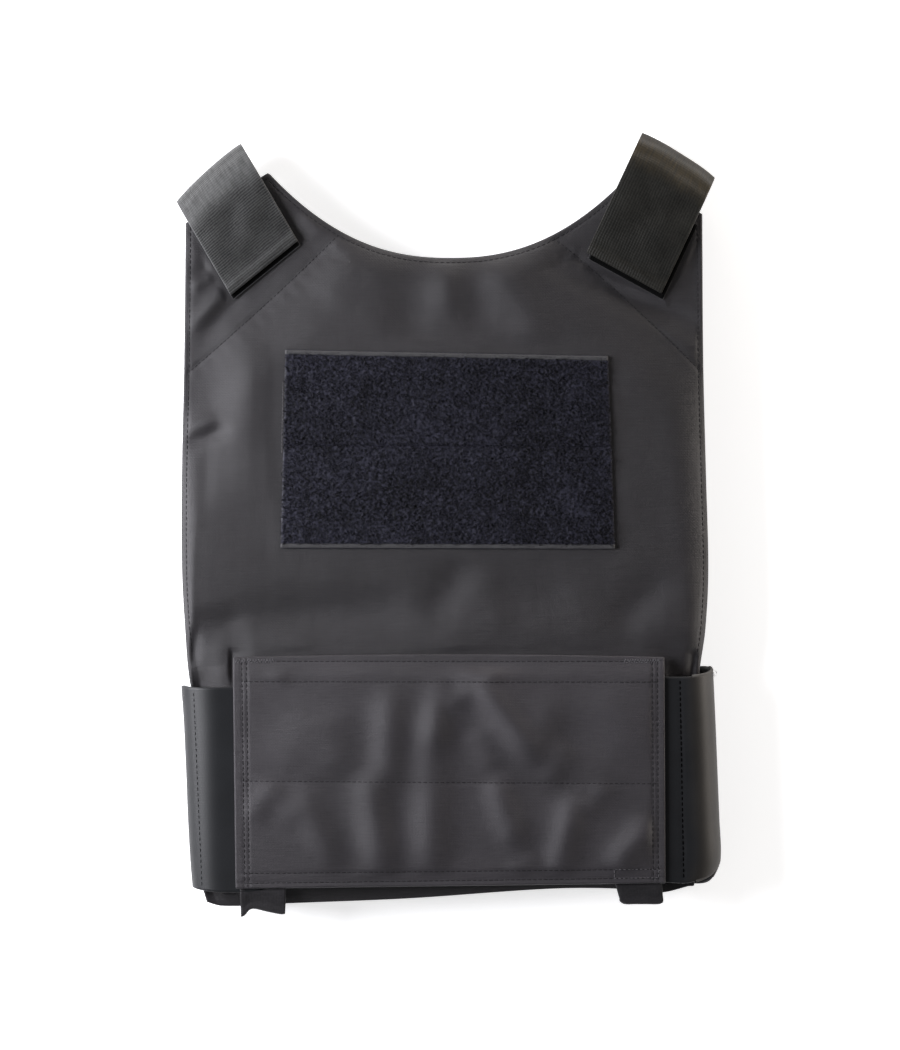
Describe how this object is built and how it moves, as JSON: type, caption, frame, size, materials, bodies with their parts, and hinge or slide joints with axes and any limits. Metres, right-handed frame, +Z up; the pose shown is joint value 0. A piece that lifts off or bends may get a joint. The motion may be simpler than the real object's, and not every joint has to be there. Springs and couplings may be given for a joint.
{
  "type": "concealable bulletproof vest",
  "caption": "Low-profile soft body armour vest lying on its back: padded front and back panels, loop pile patch, front flap, elastic side band and webbing shoulder straps.",
  "frame": {"origin": "on the surface that the vest lies on, under the middle of its outline", "axes": "+X to the right as seen from above, +Y towards the neck, +Z up out of the vest's front"},
  "size_m": [0.3356, 0.4772, 0.044],
  "materials": {
    "cover_cloth": "charcoal plain-weave nylon cloth, matt with a soft sheen",
    "band_elastic": "smooth dark woven elastic",
    "loop_pile": "fuzzy blue-black loop pile",
    "strap_webbing": "ribbed grey-black nylon webbing"
  },
  "bodies": {
    "root": {"back_panel": "cover_cloth", "front_panel": "cover_cloth", "front_flap": "cover_cloth", "side_band": "band_elastic", "loop_tape_upper": "loop_pile", "loop_tape_lower": "loop_pile", "shoulder_strap_left": "strap_webbing", "shoulder_strap_right": "strap_webbing", "strap_pad_left": "strap_webbing", "strap_pad_right": "strap_webbing", "pull_tab_left": "strap_webbing", "pull_tab_right": "strap_webbing"}
  },
  "joints": []
}
